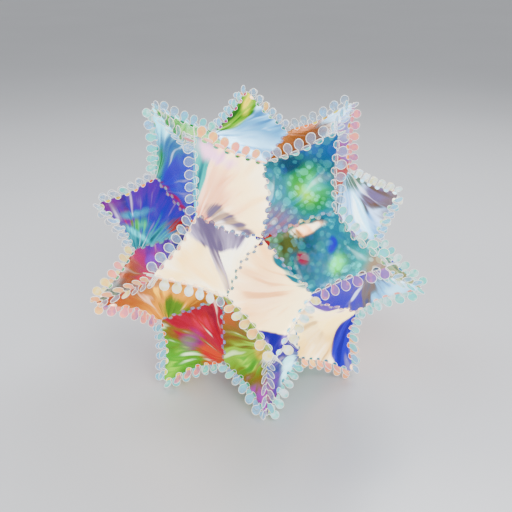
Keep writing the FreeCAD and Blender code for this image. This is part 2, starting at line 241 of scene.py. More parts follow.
def edge_strokes(first_tab, untabbed):
    """Strokes of one tabbed edge from its acute corner at 0 to its obtuse corner at EDGE, outside upwards.

    A stroke is (end,) for a line or (end, centre, over) for an arc that bulges outwards or inwards.
    """
    heads = [Vector(((first_tab + n) * PITCH, HEAD_RISE * PITCH, 0)) for n in range(untabbed, TABS)]
    strokes = []

    def notch_beside(head, side):
        notch = Vector((head.x + side * PITCH / 2, NOTCH_RISE * PITCH, 0))
        half_mouth = math.sqrt((NOTCH * PITCH) ** 2 - (NOTCH_RISE * PITCH + SEAM_GAP) ** 2)
        foot = Vector((notch.x + side * half_mouth, -SEAM_GAP, 0))
        return notch, towards(notch, head, NOTCH * PITCH), foot

    def root_beside(head, side):
        rise = ROOT * PITCH - SEAM_GAP
        run = math.sqrt(((HEAD + ROOT) * PITCH) ** 2 - (head.y - rise) ** 2)
        centre = Vector((head.x + side * run, rise, 0))
        foot = Vector((centre.x, -SEAM_GAP, 0))
        return centre, towards(centre, head, ROOT * PITCH), foot

    beside = root_beside if first_tab == EARLY and not untabbed else notch_beside
    centre, joint, foot = beside(heads[0], -1)
    strokes += [(foot,), (joint, centre, False)]
    for head, following in zip(heads, heads[1:]):
        notch, joint, _ = notch_beside(head, 1)
        strokes.append((joint, head, True))
        strokes.append((towards(notch, following, NOTCH * PITCH), notch, False))
    beside = notch_beside if first_tab == EARLY else root_beside
    centre, joint, foot = beside(heads[-1], 1)
    strokes += [(joint, heads[-1], True), (foot, centre, False)]
    strokes.append((Vector((EDGE - SEAM_GAP * math.tan(ACUTE_HALF), -SEAM_GAP, 0)),))
    return strokes


def beyond_seam(point):
    """How far a point of a flat panel lies outside the nearest seam line."""
    reach = abs(point.x) * math.cos(ACUTE_HALF) + abs(point.y) * math.sin(ACUTE_HALF)
    return reach - HALF_LONG * math.sin(ACUTE_HALF)


def draw_edge(bm, upper, side, first_tab, untabbed):
    corner = Vector((0, upper * HALF_LONG, 0))
    along = Vector((side * math.sin(ACUTE_HALF), -upper * math.cos(ACUTE_HALF), 0))
    out = Vector((side * math.cos(ACUTE_HALF), upper * math.sin(ACUTE_HALF), 0))
    mirrored = along.cross(out).z < 0

    def place(p):
        return corner + along * p.x + out * p.y

    pen = Pen(bm, place(Vector((SEAM_GAP / math.tan(ACUTE_HALF), -SEAM_GAP, 0))))
    for stroke in edge_strokes(first_tab, untabbed):
        if len(stroke) == 1:
            pen.line(place(stroke[0]))
        else:
            end, centre, over = stroke
            pen.arc(place(centre), place(end), clockwise=over != mirrored)


def flat_panel(settings, untabbed=0):
    """A flat panel as a mesh: outline, rim with a painted highlight, tab heads in their own slot, and a
    grid.
    """
    bm = bmesh.new()
    for upper in (1, -1):
        for side in (1, -1):
            first_tab = EARLY if side == upper else LATE
            crowded = 1 if first_tab == EARLY else 0
            draw_edge(bm, upper, side, first_tab, 0 if upper > 0 else max(untabbed, crowded))
    bmesh.ops.remove_doubles(bm, verts=bm.verts, dist=MERGE)
    bmesh.ops.contextual_create(bm, geom=bm.edges)
    bmesh.ops.recalc_face_normals(bm, faces=bm.faces)
    if bm.faces[:][0].normal.z < 0:
        bmesh.ops.reverse_faces(bm, faces=bm.faces)
    whole = bm.faces[:]
    rim = bmesh.ops.inset_region(
        bm, faces=whole, thickness=settings.rim, use_even_offset=True, use_boundary=True
    )
    # The rim faces take the painted highlight of the cut rim.
    for face in rim["faces"]:
        face.material_index = RIM_SLOT
    for side in (1, -1):
        normal = Vector((math.cos(ACUTE_HALF), side * math.sin(ACUTE_HALF), 0))
        half_width = HALF_LONG * math.sin(ACUTE_HALF)
        for n in range(settings.cells + 1):
            here = normal * half_width * (2 * n / settings.cells - 1)
            geometry = bm.verts[:] + bm.edges[:] + bm.faces[:]
            bmesh.ops.bisect_plane(bm, geom=geometry, dist=CUT_MARGIN, plane_co=here, plane_no=normal)
    for face in bm.faces:
        middle = face.calc_center_median()
        if face.material_index == RIM_SLOT and middle.y < 0:
            face.material_index = 0  # a valley's cut rim takes the film's own colour, without the painted rim highlight
        elif face.material_index != RIM_SLOT and beyond_seam(middle) > TAB_START:
            face.material_index = TAB_SLOT
    coordinates = bm.loops.layers.uv.new(FILM_UV)
    for face in bm.faces:
        for loop in face.loops:
            loop[coordinates].uv = loop.vert.co.xy / EDGE
    mesh = bpy.data.meshes.new("flat_panel")
    bm.to_mesh(mesh)
    bm.free()
    return mesh


def panel_matrix(dimple, others):
    """Places a flat panel between a dimple's inner corner and the point that it shares with two others."""
    inner = DIMPLES[dimple] * EDGE
    tip = (DIMPLES[dimple] + DIMPLES[others[0]] + DIMPLES[others[1]]) * EDGE
    y = (tip - inner).normalized()
    z = (DIMPLES[others[0]] - DIMPLES[others[1]]).cross(y).normalized()
    if z.dot(inner) < 0:
        z = -z
    turned = Matrix((y.cross(z), y, z)).transposed().to_4x4()
    return Matrix.Translation((inner + tip) / 2 + CENTRE) @ turned


def seams(settings):
    """Every seam: its two ends and how its middle moves. Ridges sink and valleys shift to one side."""
    draw = random.Random(settings.seed)
    found = []
    for dimples in star_points():
        tip = sum((DIMPLES[d] for d in dimples), Vector()) * EDGE
        for left_out in dimples:
            i, j = (d for d in dimples if d != left_out)
            saddle = (DIMPLES[i] + DIMPLES[j]) * EDGE
            middle = (tip + saddle) / 2
            found.append((tip, saddle, -middle.normalized() * settings.bow * draw.uniform(0.3, 1.3)))
    for i in range(len(DIMPLES)):
        for j in range(len(DIMPLES)):
            if neighbours(i, j):
                inner = DIMPLES[i] * EDGE
                saddle = (DIMPLES[i] + DIMPLES[j]) * EDGE
                middle = (inner + saddle) / 2
                side = middle.cross(saddle - inner).normalized() * draw.uniform(-0.9, 0.9)
                outwards = middle.normalized() * draw.uniform(-0.4, 0.3)
                found.append((inner, saddle, (outwards + side) * settings.bow))
    return found


def bow_along_seams(points, all_seams):
    """Moves points near a seam with it, so that the tabs of both panels stay in each other's gaps."""
    moved = points.copy()
    away_from_seat = np.hypot(points[:, 0], points[:, 1])
    keep = np.where(points[:, 2] < 0, np.clip((away_from_seat - 1.1 * SEAT_RADIUS) / SEAT_RADIUS, 0, 1), 1)
    for start, end, shift in all_seams:
        a, run = np.array(start), np.array(end - start)
        share = (points - a) @ run / (run @ run)
        off = np.linalg.norm(points - a - np.clip(share, 0, 1)[:, None] * run, axis=1)
        along = np.where((share > 0) & (share < 1), np.sin(np.pi * np.clip(share, 0, 1)) ** 2, 0)
        weight = along * np.exp(-((off / BOW_REACH) ** 2)) * keep
        moved += weight[:, None] * np.array(shift)
    return moved


def dish(point, settings, depth, twist, seed):
    """Height of the bowed film over its flat panel: zero on the seams, deepest in the middle."""
    across = HALF_LONG * math.sin(ACUTE_HALF)
    s = (point.x * math.cos(ACUTE_HALF) + point.y * math.sin(ACUTE_HALF)) / across
    t = (point.x * math.cos(ACUTE_HALF) - point.y * math.sin(ACUTE_HALF)) / across
    if abs(s) >= 1 or abs(t) >= 1:
        return 0.0
    inside = ((1 - s * s) * (1 - t * t)) ** 0.8
    soft = noise.noise(Vector((point.x, point.y, 0)) / SOFT_RIPPLE + Vector((seed * 3.7, seed * 1.3, 0)))
    fold = noise.noise(Vector((point.x, point.y * 0.35, 0)) / FINE_RIPPLE + Vector((0, seed * 2.1, 5.0)))
    lean = (s * t) * twist
    return inside * (settings.dish * (lean - depth) + settings.ripple * (1.4 * soft + 0.5 * fold))


def cut_seat_hole(bm, azimuth):
    """Cuts a bottom panel back to the round hole that the seat's tube passes through."""
    sides = [flat_polar(1, azimuth + turn) for turn in range(-45, 46, 10)]
    for normal in sides:
        geometry = bm.verts[:] + bm.edges[:] + bm.faces[:]
        place = normal * FILM_HOLE
        bmesh.ops.bisect_plane(bm, geom=geometry, dist=CUT_MARGIN, plane_co=place, plane_no=normal)
    inner = [
        face
        for face in bm.faces
        if all(vert.co.dot(normal) < FILM_HOLE + HOLE_MARGIN for vert in face.verts for normal in sides)
    ]
    bmesh.ops.delete(bm, geom=inner, context="FACES")


def add_object(name, mesh, materials):
    for material in materials:
        mesh.materials.append(material)
    piece = bpy.data.objects.new(name, mesh)
    bpy.context.scene.collection.objects.link(piece)
    return piece


# --- materials --------------------------------------------------------------------------------------


def tint(code):
    """A linear colour from a six-figure display colour."""
    channels = [int(code[n : n + 2], 16) / 255 for n in (0, 2, 4)]
    return tuple(c / 12.92 if c <= 0.04045 else ((c + 0.055) / 1.055) ** 2.4 for c in channels) + (1,)


class Tree:
    """A material's nodes. A value given as an input is a number, a colour or another node's output."""

    def __init__(self, name):
        self.material = bpy.data.materials.new(name)
        self.material.use_nodes = True
        self.nodes = self.material.node_tree.nodes
        self.links = self.material.node_tree.links
        self.shader = self.nodes["Principled BSDF"]

    def feed(self, node, inputs):
        for key, value in inputs.items():
            if isinstance(value, bpy.types.NodeSocket):
                self.links.new(value, node.inputs[key])
            else:
                node.inputs[key].default_value = value

    def add(self, kind, inputs, result=0, **settings):
        node = self.nodes.new(kind)
        for key, value in settings.items():
            setattr(node, key, value)
        self.feed(node, inputs)
        return node.outputs[result]

    def math(self, operation, a, b=0.0, clamp=False):
        return self.add("ShaderNodeMath", {0: a, 1: b}, operation=operation, use_clamp=clamp)

    def noise(self, vector, scale, detail=2.0, distortion=0.0, result="Fac"):
        inputs = {"Vector": vector, "Scale": scale, "Detail": detail, "Distortion": distortion}
        return self.add("ShaderNodeTexNoise", inputs, result)

    def mapping(self, vector, kind="POINT", **inputs):
        return self.add("ShaderNodeMapping", {"Vector": vector, **inputs}, vector_type=kind)

    def ramp(self, factor, stops, interpolation="EASE"):
        node = self.nodes.new("ShaderNodeValToRGB")
        node.color_ramp.interpolation = interpolation
        elements = node.color_ramp.elements
        while len(elements) < len(stops):
            elements.new(0.5)
        for element, (position, colour) in zip(elements, stops):
            element.position = position
            element.color = colour
        self.links.new(factor, node.inputs["Fac"])
        return node.outputs["Color"]

    def mix(self, factor, a, b, blend="MIX"):
        node = self.nodes.new("ShaderNodeMix")
        node.data_type = "RGBA"
        node.blend_type = blend
        for key, value in ((0, factor), (6, a), (7, b)):
            self.feed(node, {key: value})
        return node.outputs[2]

    def between(self, value, low, high, to_low=0.0, to_high=1.0, kind="SMOOTHSTEP"):
        inputs = {"Value": value, "From Min": low, "From Max": high, "To Min": to_low, "To Max": to_high}
        return self.add("ShaderNodeMapRange", inputs, interpolation_type=kind)

    def grey(self, level):
        return self.add("ShaderNodeCombineColor", {0: level, 1: level, 2: level})

    def bump(self, height, distance, strength=1.0):
        inputs = {"Height": height, "Distance": distance, "Strength": strength}
        normal = self.add("ShaderNodeBump", inputs, "Normal")
        self.feed(self.shader, {"Normal": normal})


# Colours of the painted glints; black leaves a cell without one.
GLINT_TINTS = ("000000", "1038a0", "10986c", "18a8a8", "38b038")
TAB_TINTS = {  # clear, blue, turquoise, white, yellow, peach, rose and violet
    "c": "8fa8c8",
    "b": "7cc4f4",
    "t": "58d8c8",
    "w": "f4faff",
    "y": "f2e680",
    "p": "ffb06c",
    "r": "ff8e8e",
    "v": "8a64b8",
}


class Patch:
    """An oval of another colour on a panel, such as a painted sheen of a light or a painted dark spot where
    the film is seen through.

    Its place is in panel edges from the panel's middle: x to the right and y towards the star's point.
    """

    def __init__(self, x, y, wide, high, colour, second=None, turn=0.0, soft=0.5, strength=1.0):
        self.place = (x, y, 0)
        self.size = (wide, high, 1)
        self.colour = tint(colour)
        self.second = tint(second or colour)
        self.turn = math.radians(turn)
        self.soft = soft
        self.strength = strength


class Finish:
    """Colours of one panel: bands that flow across it in a direction, and patches over them.

    Two letters of TAB_TINTS give the tabs of its two ridges, in the order of the dimples across them.
    The film's satin streaks run out from the fan point, in the same coordinates as a patch's place.
    Body is how solid the film looks; the next number is how strong its streaks are, with their painted
    highlights and painted shade, and the one after how strong its painted round glints are.
    """

    def __init__(
        self, bands, turn=0.0, patches=(), tabs="cc", body=0.875, pleats_and_sheen=0.35, glint_strength=0.0, fan=(-0.6, -0.1)
    ):
        self.bands = bands.split()
        self.turn = math.radians(turn)
        self.patches = patches
        self.tabs = tabs
        self.body = body
        self.pleats_and_sheen = pleats_and_sheen
        self.glint_strength = glint_strength
        self.fan = fan


def deepened(colour):
    """The same colour further from grey, and the darker the more: film shows purer colours than paint."""
    grey = sum(colour[:3]) / 3
    amount = 1.5 - 0.45 * grey
    return tuple(max(0.0, grey + (c - grey) * amount) for c in colour[:3]) + (1,)


def film_material(name, finish, settings, seed):
    tree = Tree(name)
    flow = wandering_place(tree, seed)
    streak = satin_streaks(tree, flow, finish.fan, seed)
    colour = film_bands(tree, flow, streak, finish)
    for patch in finish.patches:
        colour = lay_patch(tree, flow, streak, patch, colour)
    # Painted glints: round spots of light screened over the film.
    if finish.glint_strength:
        colour = tree.mix(1.0, colour, painted_glints(tree, flow, seed, finish.glint_strength), "SCREEN")
    # Painted highlight: warm white screened over the film where the streaks crest, and the film is more
    # solid there.
    painted_gleam = tree.between(streak, 0.60, 0.74, 0.0, finish.pleats_and_sheen)
    colour = tree.mix(painted_gleam, colour, tint("fff4e4"), "SCREEN")
    # Painted shade: the film's colour multiplied by itself where the streaks dip, darker and purer there.
    painted_pleat_shade = tree.between(streak, 0.30, 0.52, 1.4 * finish.pleats_and_sheen, 0.0)
    colour = tree.mix(painted_pleat_shade, colour, colour, "MULTIPLY")
    value = tree.add("ShaderNodeRGBToBW", {0: colour})
    body = tree.mix(1.0, colour, tree.grey(tree.between(value, 0.25, 0.75, 0.4, 1.0)), "MULTIPLY")
    tree.feed(
        tree.shader,
        {
            "Base Color": body,
            "Metallic": 0.55,
            "Roughness": tree.between(streak, 0.2, 0.8, settings.gloss * 0.7, settings.gloss * 1.4),
            "IOR": 1.3,
            "Alpha": tree.between(painted_gleam, 0.0, 1.0, finish.body, 1.0),
            "Coat Weight": 0.12,
            "Coat Roughness": 0.04,
            "Emission Color": colour,
            # Painted glow: the film gives off its own colour as light; pale colours glow up to five times
            # more, to carry the painted reflections.
            "Emission Strength": tree.between(value, 0.3, 0.85, settings.painted_glow, 5.0 * settings.painted_glow),
            "Thin Film Thickness": 380.0,
            "Thin Film IOR": 1.5,
        },
    )
    tree.bump(streak, 0.0003, 0.5)
    return tree.material


def wandering_place(tree, seed):
    """A place on the panel in panel edges, pushed about a little so that no border is straight."""
    uv = tree.add("ShaderNodeUVMap", {}, "UV", uv_map=FILM_UV)
    wander = tree.noise(tree.mapping(uv, Location=(0, 0, seed * 1.7)), 1.8, 1.0, 0.0, "Color")
    centred = tree.add("ShaderNodeVectorMath", {0: wander, 1: (0.5, 0.5, 0.5)}, operation="SUBTRACT")
    pushed = tree.add("ShaderNodeVectorMath", {0: centred, "Scale": 0.16}, operation="SCALE")
    return tree.add("ShaderNodeVectorMath", {0: uv, 1: pushed}, operation="ADD")


def film_bands(tree, flow, streak, finish):
    """The finish's colours, one after another across the panel, pleated by the streaks."""
    along = tree.add("ShaderNodeSeparateXYZ", {0: tree.mapping(flow, Rotation=(0, 0, -finish.turn))}, "X")
    level = tree.between(along, -0.6, 0.6, kind="LINEAR")
    pleat = 0.45 * finish.pleats_and_sheen
    pleats = tree.between(streak, 0.25, 0.75, -pleat, pleat, kind="LINEAR")
    level = tree.math("ADD", level, pleats, clamp=True)
    last = max(1, len(finish.bands) - 1)
    return tree.ramp(level, [(n / last, deepened(tint(code))) for n, code in enumerate(finish.bands)])


def lay_patch(tree, flow, streak, patch, colour):
    """The colour so far with a patch over it, whose border is ragged along the streaks."""
    turned = (0, 0, patch.turn)
    oval = tree.mapping(flow, "TEXTURE", Location=patch.place, Rotation=turned, Scale=patch.size)
    reach = tree.add("ShaderNodeVectorMath", {0: oval}, "Value", operation="LENGTH")
    ragged = tree.math("ADD", reach, tree.between(streak, 0.2, 0.8, -0.8 * patch.soft, 0.8 * patch.soft))
    mask = tree.between(ragged, 1 - patch.soft, 1 + patch.soft, patch.strength, 0.0)
    inner = tree.mix(tree.between(streak, 0.42, 0.58), deepened(patch.colour), deepened(patch.second))
    return tree.mix(mask, colour, inner)


def satin_streaks(tree, place, fan, seed):
    """Soft streaks that run out from one point, like the pleats of bent film; their light and dark become
    painted highlights and painted shade.
    """
    outwards = tree.add("ShaderNodeVectorMath", {0: place, 1: (*fan, 0)}, operation="SUBTRACT")
    axes = tree.nodes.new("ShaderNodeSeparateXYZ")
    tree.feed(axes, {0: outwards})
    angle = tree.math("ARCTAN2", axes.outputs["Y"], axes.outputs["X"])
    reach = tree.add("ShaderNodeVectorMath", {0: outwards}, "Value", operation="LENGTH")
    polar = tree.add("ShaderNodeCombineXYZ", {0: tree.math("MULTIPLY", angle, 4.5), 1: reach, 2: seed})
    return tree.noise(polar, 1.5, 1.5, 0.4)


def painted_glints(tree, place, seed, strength):
    """Painted round out-of-focus glints, each in its own shade of green, cyan or blue, in two sizes."""
    total = None
    for scale, share in ((6.5, 0.40), (11.0, 0.36)):
        moved = tree.mapping(place, Location=(seed, scale, 0))
        inputs = {"Vector": moved, "Scale": scale, "Randomness": 0.85}
        node = tree.nodes.new("ShaderNodeTexVoronoi")
        node.voronoi_dimensions = "2D"
        tree.feed(node, inputs)
        disc = tree.between(node.outputs["Distance"], share - 0.08, share, strength, 0.0)
        pick = tree.add("ShaderNodeSeparateColor", {0: node.outputs["Color"]}, "Red")
        shade = tree.ramp(pick, [(n / 4, tint(code)) for n, code in enumerate(GLINT_TINTS)], "CONSTANT")
        lit = tree.mix(disc, (0, 0, 0, 1), shade)
        total = lit if total is None else tree.mix(1.0, total, lit, "SCREEN")
    return total


def tab_tone(letter):
    return list(TAB_TINTS).index(letter) / (len(TAB_TINTS) - 1)


def tab_material(settings):
    """Tab heads: each has its own tone, from nearly clear blue through white and cream to lilac."""
    tree = Tree("film tab head")
    tone = tree.add("ShaderNodeAttribute", {}, "Fac", attribute_name=TAB_TONE)
    uv = tree.add("ShaderNodeUVMap", {}, "UV", uv_map=FILM_UV)
    drift = tree.between(tree.noise(uv, 14.0, 1.0), 0.3, 0.7, -0.06, 0.06, kind="LINEAR")
    level = tree.math("ADD", tone, drift, clamp=True)
    stops = [(tab_tone(letter), tint(code)) for letter, code in TAB_TINTS.items()]
    colour = tree.ramp(level, stops, "LINEAR")
    tree.feed(
        tree.shader,
        {
            "Base Color": colour,
            "Metallic": 0.2,
            "Roughness": tree.between(tree.noise(uv, 30.0, 2.0), 0.3, 0.7, 0.1, 0.22),
            "IOR": 1.5,
            "Alpha": tree.between(level, 0.02, 0.25, 0.25, 0.85),
            "Coat Weight": 0.4,
            "Coat Roughness": 0.04,
            "Emission Color": colour,
            # Painted glow: the tab heads give off light, though they are no lamp.
            "Emission Strength": settings.painted_glow,
        },
    )
    return tree.material


def rim_highlight_material():
    """The cut rim of the film, painted as a white highlight and glow where light would gather: white with a
    trace of colour.
    """
    tree = Tree("film cut rim")
    uv = tree.add("ShaderNodeUVMap", {}, "UV", uv_map=FILM_UV)
    stops = [(0.25, tint("d8f1ff")), (0.45, tint("ffffff")), (0.6, tint("fff4e0")), (0.78, tint("f0dcff"))]
    colour = tree.ramp(tree.noise(uv, 5.0, 2.0, 0.5), stops)
    tree.feed(
        tree.shader,
        {
            "Base Color": colour,
            "Roughness": tree.between(tree.noise(uv, 60.0, 2.0), 0.3, 0.7, 0.15, 0.35),
            "Coat Weight": 0.5,
            "Emission Color": colour,
            # Painted glow along the cut rim.
            "Emission Strength": 0.45,
        },
    )
    return tree.material


# Finishes of the panels, by dimple and then by the two dimples that share the panel's point with it. The
# pale cream, white and peach panels and patches, and the pale blue of panels (0, 3, 4) and (2, 3, 7), are
# painted reflections of softboxes; grey-violet patches are painted dark see-through spots.
FINISHES = {
    (0, 2, 3): Finish("b87c10 885008 b87c18", 10, [Patch(0.1, 0.62, 0.3, 0.3, "b6dcf4")], "cc", 0.925),
    (0, 3, 4): Finish(
        "8cc8f4 a8def8 78bef0 b4e4fa",
        60,
        [
            Patch(-0.6, 0.8, 0.74, 0.78, "3f9c2c", "7cb61e", soft=0.03),
            Patch(-0.03, 0.62, 0.07, 0.24, "e0d020", "a8c020", -12),
            Patch(-0.42, 0.3, 0.12, 0.3, "3a7a3c", turn=-35),
        ],
        "cb",
    ),
    (0, 4, 5): Finish("0f5a20 2f9a30 28a040 40b898", 10, (), "bc", 0.9, 0.2),
    (1, 0, 2): Finish(
        "2a6fa8 17707c 1c98a0 2aa6b4 7a96c8",
        -60,
        [
            Patch(0.08, 0.05, 0.26, 0.26, "1cb45c", "30c8a0"),
            Patch(0.10, -0.04, 0.09, 0.08, "88c828", soft=0.8),
            Patch(0.0, -0.6, 0.3, 0.22, "8f96c4", "b08ca4"),
            Patch(-0.25, 0.2, 0.12, 0.2, "145468"),
        ],
        "cc",
        0.875,
        0.25,
        0.55,
        (-0.1, -1.2),
    ),
    (1, 0, 5): Finish(
        "f4948c fbc4a0 fde4b0 fff8d8",
        -20,
        [
            Patch(-0.38, 0.55, 0.78, 0.36, "0c9ca4", "28c0b8", 40, 0.04),
            Patch(-0.24, -0.33, 0.13, 0.36, "a094b0", "c8ac98", 20, 0.2),
            Patch(-0.30, -0.42, 0.10, 0.22, "fbf2ea", None, 22, 0.4),
            Patch(0.08, 0.5, 0.1, 0.3, "f8c4e4", None, 30, 0.6),
        ],
        "pc",
        0.95,
        0.22,
    ),
    (1, 2, 6): Finish(
        "6f9470 1f6c7c 2898b4 1f9aa4 2ab4b4",
        90,
        [
            Patch(0.10, 0.20, 0.15, 0.15, "10b850", "40d878"),
            Patch(-0.10, 0.04, 0.10, 0.06, "1834e8"),
            Patch(0.12, -0.27, 0.07, 0.07, "b04864"),
            Patch(-0.2, -0.36, 0.06, 0.26, "ffc08c", "fff0d0", 28, 0.3),
            Patch(0.0, 0.74, 0.2, 0.16, "b8a48c"),
            Patch(-0.02, -0.5, 0.14, 0.14, "5c6c3c"),
        ],
        "tv",
        0.875,
        0.25,
        0.55,
        (-0.5, -1.0),
    ),
    (1, 5, 10): Finish(
        "fce4a8 fffce8 fce0a0 fff6dc",
        30,
        [
            Patch(0.02, -0.08, 0.54, 0.07, "a496b0", "ccbccc", 0, 0.15),
            Patch(0.30, -0.18, 0.50, 0.25, "9488ac", "b8accc", 58, 0.12),
            Patch(-0.2, 0.12, 0.26, 0.16, "ffe4a8", None, 30, 0.6),
        ],
        "cw",
        0.94,
        0.22,
    ),
    (1, 6, 10): Finish(
        "fff4c8 fee8b4 fcd49c ffecc4",
        -20,
        [
            Patch(0.05, 0.86, 0.5, 0.34, "4840b0", "8478d0", 0, 0.06),
            Patch(0.10, -0.06, 0.24, 0.26, "f8c898", "fad8b0", soft=0.8),
            Patch(-0.34, -0.42, 0.13, 0.34, "4aa0b0", "a8c8b0", 28, 0.15),
        ],
        "wy",
        0.95,
        0.22,
    ),
    (2, 0, 3): Finish("c87c20 d88838 d87888 b488e0 b0d8fa", 90, (), "br", 0.925),
    (2, 3, 7): Finish(
        "74744c a8d8fc 90ccfa bcd8f8 9c8c98",
        90,
        [
            Patch(-0.12, 0.42, 0.16, 0.34, "8a7464", "a090c0", 12),
            Patch(-0.40, 0.12, 0.14, 0.24, "7c9c88"),
            Patch(0.06, -0.02, 0.34, 0.13, "b8ecff", "e4fbff", 0, 0.3),
        ],
        "wb",
    ),
    (2, 6, 7): Finish("70a0c8 60b8b8 a8a878", 90, (), "tt"),
    (5, 0, 1): Finish("2a9cc8 30d8dc 2aa8c0", 0, (), "cc"),
    (5, 0, 4): Finish(
        "2848c8 3460ec 2f8fd0 8fe0f0",
        80,
        [
            Patch(-0.40, 0.16, 0.14, 0.26, "2a9a60", "60b8a0", -30),
            Patch(-0.16, -0.08, 0.2, 0.16, "5a28e4", "3a40f0"),
            Patch(-0.24, -0.44, 0.08, 0.36, "b02878", "7038b0", 31, 0.3),
        ],
        "ct",
    ),
    (5, 4, 9): Finish(
        "148090 10b4c0 3c50d0 6a2cc8 7a2cb8",
        10,
        [
            Patch(-0.12, 0.38, 0.10, 0.22, "d02870", "9028b0", 8, 0.7),
            Patch(-0.14, 0.05, 0.08, 0.16, "58c878", "38b8a8", soft=0.8),
            Patch(-0.02, 0.24, 0.05, 0.30, "2cb4e0", None, 14, 0.6),
            Patch(-0.28, 0.1, 0.04, 0.3, "28d0d8", None, -16, 0.7),
            Patch(0.0, 0.72, 0.2, 0.2, "8a38a4"),
            Patch(-0.04, -0.56, 0.12, 0.16, "b03040", "20607c"),
        ],
        "cc",
        0.86,
        0.5,
    ),
    (5, 9, 10): Finish(
        "3c3c78 7c3cc4 c04880 a86048 587878",
        90,
        [Patch(-0.30, 0.18, 0.22, 0.14, "f03468", "f86090", -30), Patch(0.08, -0.12, 0.12, 0.08, "a838e8")],
        "yc",
    ),
    (6, 2, 7): Finish(
        "4c60f0 5030e0 3c50e8 7c7880 80c4f4 a8d8f0",
        90,
        [
            Patch(-0.14, 0.10, 0.3, 0.07, "8c8078", "6c7890", 20),
            Patch(0.1, -0.06, 0.2, 0.03, "c8d0f0", None, -20),
        ],
        "bt",
    ),
    (6, 7, 11): Finish(
        "fff0dc fce8a4 f0cc84 fcecc0",
        60,
        [
            Patch(-0.45, 0.60, 0.57, 0.57, "1020b4", "2450e0", 0, 0.04),
            Patch(0.16, -0.1, 0.13, 0.5, "d8b888", "f0d8a8", -8, 0.3, 0.6),
            Patch(-0.22, -0.44, 0.06, 0.24, "9478e0", None, 30, 0.4),
        ],
        "bp",
        0.94,
        0.3,
    ),
    (6, 10, 11): Finish(
        "fff4d0 f8ecd0 5438c0 4830b0 8058c8 b05090",
        90,
        [Patch(-0.36, 0.2, 0.16, 0.24, "b8e8ec")],
        "ct",
    ),
    (10, 1, 5): Finish("f8b088 fce0b0 fcecc0", 0, (), "wc", 0.94, 0.2),
    (10, 1, 6): Finish("f0d088 78b430 8cb860 b8b070", 0, (), "yc"),
    (10, 5, 9): Finish(
        "cc8c04 eca804 dc9004 b45c14",
        50,
        [Patch(-0.28, -0.22, 0.2, 0.16, "6ca040"), Patch(0.08, 0.0, 0.16, 0.12, "f8c414", "e09c08")],
        "pr",
        0.925,
    ),
    (10, 6, 11): Finish(
        "d87820 907410 8cb814 7cb010 8c7414 cc30dc",
        90,
        [Patch(-0.36, 0.0, 0.14, 0.14, "c8b414"), Patch(0.05, 0.10, 0.24, 0.10, "60b414", "a0c418", -20)],
        "cb",
    ),
    (10, 9, 11): Finish(
        "b01c50 c42c48 c84058 987838 60a818 58b01c",
        90,
        [
            Patch(-0.32, 0.06, 0.16, 0.18, "f08020", "e05038"),
            Patch(0.0, 0.06, 0.09, 0.18, "b058c0", soft=0.9, strength=0.8),
            Patch(0.02, 0.46, 0.08, 0.32, "98cc20", "60b020", soft=0.9),
            Patch(0.0, -0.3, 0.14, 0.12, "f03070", "e04820"),
        ],
        "bt",
        0.9,
        0.5,
    ),
    (6, 1, 2): Finish("8c1c3c 70284c 3c4cc0", 20, (), "vv"),
}
# The other panels' finishes are of the same kinds: their pale cream and peach are painted softbox
# reflections too.
OTHER_FINISHES = [
    Finish("1f7c94 20a8a8 3ca0c8 58d0c8", 30, [Patch(0.1, 0.1, 0.2, 0.2, "30d078")], "ct", 0.825, 0.25, 0.4),
    Finish(
        "4c3cc8 8a2cb0 c850d0 e05080", 70, [Patch(-0.2, 0.1, 0.1, 0.3, "30c8e0", None, 20)], "vy", 0.86, 0.5
    ),
    Finish(
        "fff0c8 fddcb4 f8c090 f9a8a0",
        110,
        [Patch(0.4, 0.5, 0.4, 0.5, "3060d8", "40a8c0", 30, 0.05)],
        "pw",
        0.94,
    ),
    Finish(
        "8cb010 38a040 20b0a0 80c8f0", 20, [Patch(0.0, 0.5, 0.1, 0.3, "e0d020", "a0c020")], "bc", 0.875, 0.45
    ),
    Finish("a82440 e06c38 ffa018 c8c028", 80, [Patch(0.1, -0.2, 0.2, 0.1, "a850c8")], "rt", 0.9, 0.5),
    Finish(
        "2840d0 2888e0 40d0e4 a8e0fa",
        50,
        [Patch(-0.2, -0.2, 0.16, 0.3, "5a28e4", "b02878", 30)],
        "cb",
        0.875,
        0.4,
    ),
    Finish(
        "c8b0f8 f0a0b8 f49870 ffe4b8",
        140,
        [Patch(-0.5, 0.5, 0.5, 0.5, "1c9aa0", "60b480", 0, 0.05)],
        "wp",
        0.925,
    ),
]


def finish_of(dimple, others):
    key = (dimple, *others)
    if key in FINISHES:
        return FINISHES[key]
    return OTHER_FINISHES[(3 * dimple + 5 * others[0] + others[1]) % len(OTHER_FINISHES)]


def ridge_letter(dimple, across, third):
    """Tab tint of a ridge of a point; a panel without its own finish follows its neighbour."""
    own = (dimple, *sorted((across, third)))
    facing = (across, *sorted((dimple, third)))
    if facing in FINISHES and own not in FINISHES:
        return FINISHES[facing].tabs[0 if dimple < third else 1]
    return finish_of(dimple, own[1:]).tabs[0 if across < third else 1]


def plastic_material(name, colour, rough=0.4, grain=90.0, depth=0.00006, alpha=1.0, coat=0.0):
    """Moulded plastic: a fine spark-eroded grain and a slight unevenness of colour and gloss."""
    tree = Tree(name)
    place = tree.add("ShaderNodeTexCoord", {}, "Object")
    cloud = tree.noise(place, 40.0, 3.0)
    darker = tuple(c * 0.86 for c in tint(colour)[:3]) + (1,)
    shade = tree.mix(tree.between(cloud, 0.3, 0.7), darker, tint(colour))
    tree.feed(
        tree.shader,
        {
            "Base Color": shade,
            "Roughness": tree.between(cloud, 0.3, 0.7, rough * 0.85, rough * 1.15),
            "Coat Weight": coat,
            "Alpha": alpha,
        },
    )
    tree.bump(tree.noise(place, grain * 20, 2.0), depth)
    return tree.material


